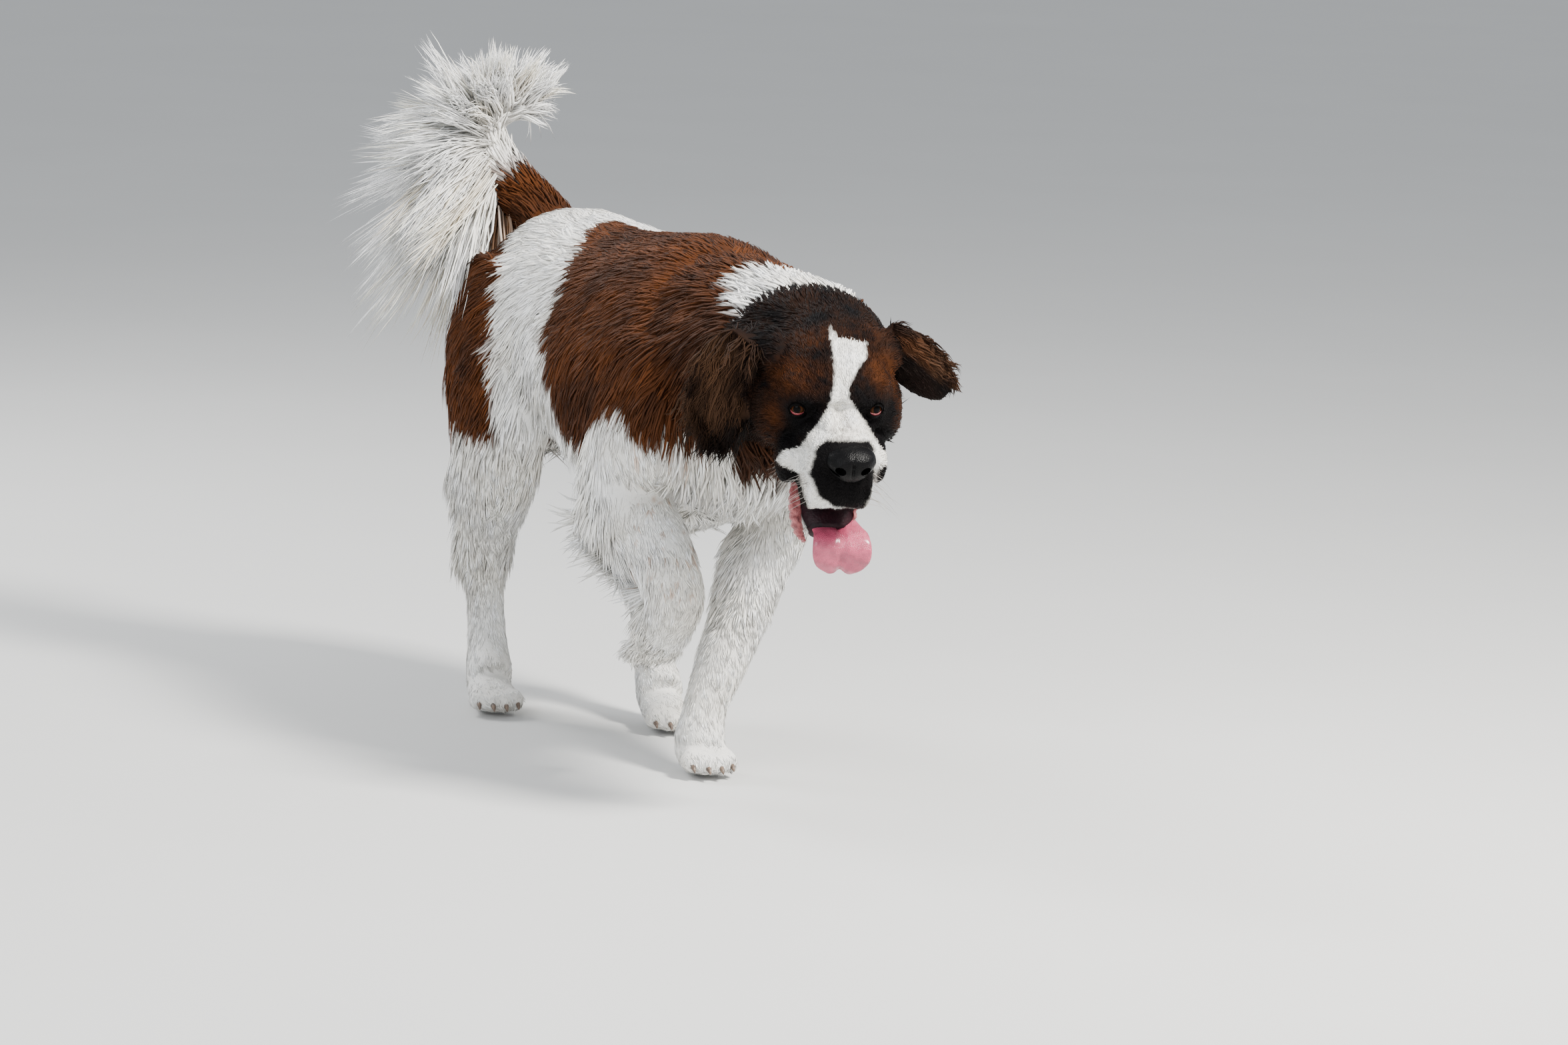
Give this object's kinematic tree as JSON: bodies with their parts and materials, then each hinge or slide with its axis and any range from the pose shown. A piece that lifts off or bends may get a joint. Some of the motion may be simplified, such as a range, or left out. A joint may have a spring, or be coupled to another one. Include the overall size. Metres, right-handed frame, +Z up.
{
  "type": "saint bernard dog",
  "caption": "Life-size standing Saint Bernard, long red and white coat, head low and turned, mouth open, one forepaw lifted, tail raised.",
  "frame": {"origin": "on the floor under the middle of the dog's box", "axes": "+Z up, the dog faces -Y, its left side is +X"},
  "size_m": [0.5384, 1.4558, 1.0025],
  "materials": {
    "white_coat": "dense white coat, matt",
    "red_coat": "mahogany coat, soft sheen",
    "dark_coat": "black-brown coat, soft sheen",
    "nose_leather": "moist black leather",
    "tongue_flesh": null,
    "eye": "wet, brown iris",
    "collar_webbing": "black webbing"
  },
  "bodies": {
    "root": {"collar": "collar_webbing", "ear_left": "dark_coat", "ear_right": "dark_coat", "eye_left": "eye", "eye_right": "eye", "fore_left_leg": "white_coat", "fore_left_paw": "white_coat", "fore_right_leg": "white_coat", "fore_right_paw": "white_coat", "head": "dark_coat", "hind_left_leg": "white_coat", "hind_left_paw": "white_coat", "hind_right_leg": "white_coat", "hind_right_paw": "white_coat", "lower_jaw": "white_coat", "neck": "red_coat", "nose_pad": "nose_leather", "tail_plume": "white_coat", "tail_root": "red_coat", "tongue": "tongue_flesh", "torso": "red_coat"}
  },
  "joints": []
}
